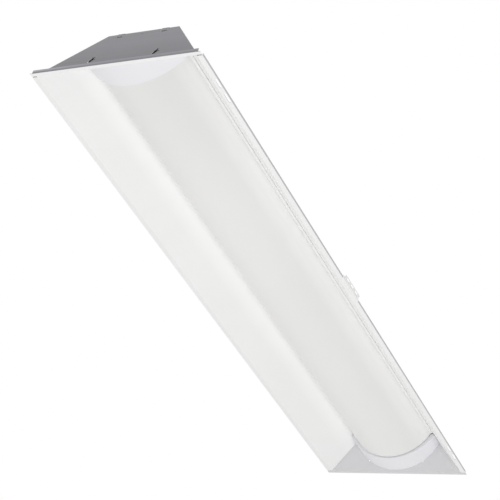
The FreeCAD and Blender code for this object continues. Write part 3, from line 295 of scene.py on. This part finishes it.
def diffuser(name):
    """Frosted acrylic: matt outside, faint extrusion lines and a milky body."""
    m = Nodes(name)
    lines = m.noise(1.0, 2.0, 0.5, m.stretch(500.0, 0.6, 500.0))
    frost = m.noise(2600.0, 2.0, 0.6)
    cloud = m.spread(m.noise(3.0, 2.0, 0.5), 0.3, 0.7)
    milk = m.mix(cloud, colour(0.828, 0.826, 0.815), colour(0.842, 0.84, 0.83))
    # painted light and shade across the lens, as shares of the way to its edge: lighter beside
    # both rails, most beside the right one, duller right of the middle, and duller towards its
    # near end
    across = m.times(m.axis("X"), 1.0 / LENS_EDGE)
    lens_painted_light = m.spread(m.axis("Y"), LENS_START, LENS_START + 0.3, 0.94, 1.0)
    for low, high, at_low, at_high in ((-1.035, -0.85, 1.035, 1.0), (-0.12, 0.61, 1.0, 0.955),
                                       (0.73, 0.85, 1.0, 1.05), (0.9, 1.023, 1.0, 1.17)):
        lens_painted_light = m.times(lens_painted_light, m.spread(across, low, high, at_low, at_high))
    m.set(Base_Color=m.scaled(milk, lens_painted_light),
          Roughness=m.spread(frost, 0.3, 0.7, 0.38, 0.5),
          Subsurface_Weight=0.12, Subsurface_Radius=(0.004, 0.004, 0.0035), Subsurface_Scale=1.0)
    m.bump(m.blend(lines, 0.7, frost, 0.3), 0.08, 0.0001)
    return m.material


def led_board(name):
    """White solder mask with faint copper tracks and pads between the LED packages."""
    pad_middle, pad_half = 0.18, 0.17    # along the board, as shares of the pitch
    pad_reach = 0.0032
    track_middle, track_half = 0.0062, 0.0006
    m = Nodes(name)
    along = m.math("FRACT", m.times(m.axis("Y"), 1.0 / LED_PITCH))
    across = m.math("ABSOLUTE", m.axis("X"))
    pad = m.times(m.below(m.away(along, pad_middle), pad_half), m.below(across, pad_reach))
    track = m.below(m.away(across, track_middle), track_half)
    copper = m.math("MAXIMUM", pad, track)
    mask = m.spread(m.noise(40.0, 3.0, 0.5), 0.3, 0.7)
    white = m.mix(mask, colour(0.82, 0.84, 0.82), colour(0.88, 0.89, 0.88))
    m.set(Base_Color=m.mix(m.times(copper, 0.35), white, colour(0.75, 0.66, 0.42)),
          Roughness=0.32)
    m.bump(copper, 0.3, 0.0001)
    return m.material


def led_package(name):
    """Package with a round phosphor face inside a white rim."""
    face_radius = 0.00115
    m = Nodes(name)
    steps = m.times(m.math("ABSOLUTE", m.axis("Y")), 1.0 / LED_PITCH)
    from_led = m.math("FRACT", m.add(steps, 0.5 - FIRST_LED / LED_PITCH))
    along = m.times(m.away(from_led, 0.5), LED_PITCH)
    across = m.axis("X")
    reach = m.math("SQRT", m.add(m.times(along, along), m.times(across, across)))
    grain = m.noise(5000.0, 2.0, 0.5)
    yellow = m.mix(grain, colour(0.8, 0.62, 0.12), colour(0.92, 0.78, 0.26))
    m.set(Base_Color=m.mix(m.below(reach, face_radius), colour(0.88, 0.88, 0.86), yellow),
          Roughness=0.3)
    return m.material


def winding(name):
    """Taped transformer: a band of yellow tape round a dark core."""
    tape_half = 0.0062
    m = Nodes(name)
    core = m.above(m.away(m.axis("Z"), WINDING_MIDDLE), tape_half)
    tape = m.noise(1.0, 3.0, 0.5, m.stretch(30.0, 30.0, 900.0))
    yellow = m.mix(tape, colour(0.62, 0.45, 0.06), colour(0.82, 0.66, 0.14))
    m.set(Base_Color=m.mix(core, yellow, colour(0.05, 0.05, 0.055)), Roughness=0.45)
    m.bump(tape, 0.2, 0.0002)
    return m.material


# ------------------------------------------------------------ finishes by name

def sheet_finishes():
    """Zinc outside, paint inside: each pair of colours is its light and its dark tone."""
    plate_zinc = (colour(0.231, 0.23, 0.25), colour(0.205, 0.204, 0.222))
    lip_zinc = (colour(0.5, 0.5, 0.51), colour(0.46, 0.46, 0.47))
    # the bands' back is zinc, painted much darker than the plates' zinc: painted shade seen
    # through the slits
    band_zinc_shaded = (colour(0.16, 0.16, 0.17), colour(0.13, 0.13, 0.14))
    near_paint = (colour(0.87, 0.87, 0.87), colour(0.855, 0.855, 0.855))
    # the far plate's white is painted darker: painted shade on its inner face
    far_paint_shaded = (colour(0.69, 0.685, 0.702), colour(0.67, 0.665, 0.682))
    # the reflectors' whites differ as painted light: painted shade on the left one, painted
    # light on the right one
    left_paint_shaded = (colour(0.9, 0.9, 0.902), colour(0.886, 0.886, 0.886))
    right_paint_lit = (colour(0.935, 0.935, 0.937), colour(0.92, 0.92, 0.92))
    band_paint = (colour(0.82, 0.818, 0.852), colour(0.805, 0.803, 0.837))
    return {
        "near_plate": painted_sheet("near_plate_sheet", "Y", -1.0, plate_zinc, near_paint,
                                    plate_painted_shade),
        "far_plate": painted_sheet("far_plate_sheet", "Y", 1.0, plate_zinc, far_paint_shaded),
        "left_sheet": painted_sheet("left_reflector_sheet", "X", -1.0, lip_zinc, left_paint_shaded,
                                    reflector_light_and_lip_paint(1.1)),
        "right_sheet": painted_sheet("right_reflector_sheet", "X", 1.0, lip_zinc, right_paint_lit,
                                     reflector_light_and_lip_paint(1.065)),
        "near_band": painted_sheet("near_band_sheet", "Y", -1.0, band_zinc_shaded, band_paint),
        "far_band": painted_sheet("far_band_sheet", "Y", 1.0, band_zinc_shaded, band_paint),
    }


def enamel_finishes():
    return {
        "white_enamel": enamel("white_enamel", colour(0.93, 0.93, 0.93),
                               colour(0.915, 0.915, 0.912)),
        "clip_enamel": enamel("clip_enamel", colour(0.8, 0.8, 0.8), colour(0.77, 0.77, 0.768)),
        # the rails' white is brighter than the other enamel: a painted highlight along the rails
        "rail_enamel_lit": enamel("rail_enamel_lit", colour(0.985, 0.985, 0.985),
                              colour(0.975, 0.975, 0.973)),
        "driver_metal": enamel("driver_paint", colour(0.84, 0.84, 0.83),
                               colour(0.79, 0.79, 0.78), 0.4),
    }


def metal_finishes():
    return {
        "galvanised": galvanised("galvanised_sheet", colour(0.56, 0.565, 0.58),
                                 colour(0.41, 0.415, 0.43)),
        "bright_steel": metal("zinc_plated", colour(0.72, 0.73, 0.74), colour(0.5, 0.51, 0.52)),
        "magnet": metal("magnet_ferrite", colour(0.16, 0.16, 0.17), colour(0.1, 0.1, 0.11), 0.5),
        "can_aluminium": metal("can_aluminium", colour(0.78, 0.79, 0.8),
                               colour(0.6, 0.61, 0.62), 0.3, "Z"),
        "screw_steel": metal("screw_steel", colour(0.74, 0.74, 0.73), colour(0.5, 0.5, 0.5),
                             0.28, "Z"),
        "ground_green": metal("ground_green", colour(0.08, 0.45, 0.15),
                              colour(0.04, 0.3, 0.09), 0.35, "Z"),
    }


def plastic_finishes():
    return {
        "black_plastic": plastic("black_plastic", colour(0.05, 0.05, 0.053),
                                 colour(0.035, 0.035, 0.038), 0.5),
        "white_plastic": plastic("white_plastic", colour(0.88, 0.88, 0.85),
                                 colour(0.8, 0.8, 0.77), 0.35),
        "amber_plastic": plastic("amber_plastic", colour(0.85, 0.42, 0.08),
                                 colour(0.72, 0.33, 0.05), 0.3),
        "board_green": plastic("board_green", colour(0.05, 0.3, 0.12),
                               colour(0.03, 0.22, 0.09), 0.3),
    }


def wire_finishes():
    tones = {
        "wire_black": (colour(0.03, 0.03, 0.03), colour(0.02, 0.02, 0.02)),
        "wire_white": (colour(0.86, 0.86, 0.84), colour(0.78, 0.78, 0.75)),
        "wire_green": (colour(0.05, 0.4, 0.12), colour(0.03, 0.3, 0.08)),
        "wire_red": (colour(0.6, 0.05, 0.04), colour(0.48, 0.03, 0.03)),
        "wire_blue": (colour(0.05, 0.12, 0.5), colour(0.03, 0.08, 0.4)),
    }
    return {name: insulation(name, *pair) for name, pair in tones.items()}


def single_finishes():
    return {
        "diffuser": diffuser("frosted_acrylic"),
        "board_white": led_board("board_white"),
        "led_phosphor": led_package("led_phosphor"),
        "winding": winding("taped_winding"),
    }


# nodes that don't take the finish named by their slot in the record
OWN_FINISH = {
    "near_end_plate": "near_plate",
    "far_end_plate": "far_plate",
    "near_end_band": "near_band",
    "far_end_band": "far_band",
    "left_reflector": "left_sheet",
    "right_reflector": "right_sheet",
    # the rails take the enamel with the painted highlight
    "left_lens_rail": "rail_enamel_lit",
    "right_lens_rail": "rail_enamel_lit",
    "left_tbar_clip": "clip_enamel",
    "right_tbar_clip": "clip_enamel",
}


def dress():
    """Gives each node its material."""
    finishes = {}
    for group in (sheet_finishes, enamel_finishes, metal_finishes, plastic_finishes,
                  wire_finishes, single_finishes):
        finishes.update(group())
    slots = {part["node"]: part["material_slot"] for part in frame["record"]["subparts"]}
    for name, thing in nodes.items():
        material = finishes[OWN_FINISH.get(name, slots[name])]
        if not thing.material_slots:
            thing.data.materials.append(material)
        for slot in thing.material_slots:
            slot.link = "OBJECT"
            slot.material = material


# ------------------------------------------------------------ floor, light and camera

FLOOR_LEVEL = -3.2
FLOOR_HALF = 45.0


def build_floor():
    """A plain pale floor far below the light."""
    corners = [(x * FLOOR_HALF, y * FLOOR_HALF, FLOOR_LEVEL)
               for x, y in ((-1, -1), (1, -1), (1, 1), (-1, 1))]
    mesh = bpy.data.meshes.new("floor")
    mesh.from_pydata(corners, [], [(0, 1, 2, 3)])
    floor = bpy.data.objects.new("floor", mesh)
    scene.collection.objects.link(floor)
    m = Nodes("pale_floor")
    m.set(Base_Color=m.mix(m.noise(3.0, 3.0, 0.5), colour(0.8, 0.8, 0.79),
                           colour(0.83, 0.83, 0.82)), Roughness=0.8)
    mesh.materials.append(m.material)


WORLD_LIGHT = 0.74
WORLD_SEEN = 1.0


def build_world():
    """Soft even light; the rays that see the world directly find it white."""
    world = bpy.data.worlds.new("studio")
    world.use_nodes = True
    tree = world.node_tree
    tree.nodes.clear()
    path = tree.nodes.new("ShaderNodeLightPath")
    seen = path.outputs["Is Camera Ray"]
    for ray in ("Is Glossy Ray", "Is Transmission Ray"):
        either = tree.nodes.new("ShaderNodeMath")
        either.operation = "MAXIMUM"
        tree.links.new(seen, either.inputs[0])
        tree.links.new(path.outputs[ray], either.inputs[1])
        seen = either.outputs[0]
    mix = tree.nodes.new("ShaderNodeMixShader")
    tree.links.new(seen, mix.inputs[0])
    for place, strength in ((1, WORLD_LIGHT), (2, WORLD_SEEN)):
        background = tree.nodes.new("ShaderNodeBackground")
        background.inputs["Color"].default_value = colour(1.0, 1.0, 1.0)
        background.inputs["Strength"].default_value = strength
        tree.links.new(background.outputs[0], mix.inputs[place])
    out = tree.nodes.new("ShaderNodeOutputWorld")
    tree.links.new(mix.outputs[0], out.inputs["Surface"])
    scene.world = world


# name: place, diameter and power; each lamp faces the middle of the light's face
LAMPS = {
    "key": ((2.6, -1.0, -2.6), 1.6, 40.0),
    "fill": ((-2.4, -0.4, -2.4), 2.4, 20.0),
    "top": ((0.6, -0.8, 3.0), 2.6, 40.0),
}


def build_lamps():
    for name, (place, diameter, power) in LAMPS.items():
        data = bpy.data.lights.new(name, "AREA")
        data.shape = "DISK"
        data.size = diameter
        data.energy = power
        lamp = bpy.data.objects.new(name, data)
        scene.collection.objects.link(lamp)
        lamp.location = place
        lamp.rotation_euler = (-Vector(place)).to_track_quat("-Z", "Y").to_euler()


# the photo's camera, fitted to the corners of the light's face
CAMERA_PLACE = (1.255373, -1.924528, -1.422619)
CAMERA_TURN = (0.8936128, 0.4352241, -0.27856687)   # along the axis, as long as the angle
CAMERA_LENS = 111.1
CAMERA_SENSOR = 36.0
CAMERA_REACH = 60.0
PHOTO_SIDE = 500.0                                  # pixels
PHOTO_CENTRE = (253.9, 251.4)                       # where the lens axis meets the photo


def build_camera():
    """The turn takes the world to a camera that looks along +Z with Y down the photo."""
    axis = Vector(CAMERA_TURN)
    turn = Matrix.Rotation(axis.length, 3, axis.normalized())
    flip = Matrix.Diagonal((1.0, -1.0, -1.0))
    data = bpy.data.cameras.new("camera")
    data.lens = CAMERA_LENS
    data.sensor_width = CAMERA_SENSOR
    data.shift_x = (PHOTO_SIDE / 2 - PHOTO_CENTRE[0]) / PHOTO_SIDE
    data.shift_y = (PHOTO_CENTRE[1] - PHOTO_SIDE / 2) / PHOTO_SIDE
    data.clip_end = CAMERA_REACH
    camera = bpy.data.objects.new("camera", data)
    scene.collection.objects.link(camera)
    camera.matrix_world = Matrix.Translation(CAMERA_PLACE) @ (flip @ turn).transposed().to_4x4()
    scene.camera = camera


scene.view_settings.view_transform = "Standard"
dress()
build_floor()
build_world()
build_lamps()
build_camera()
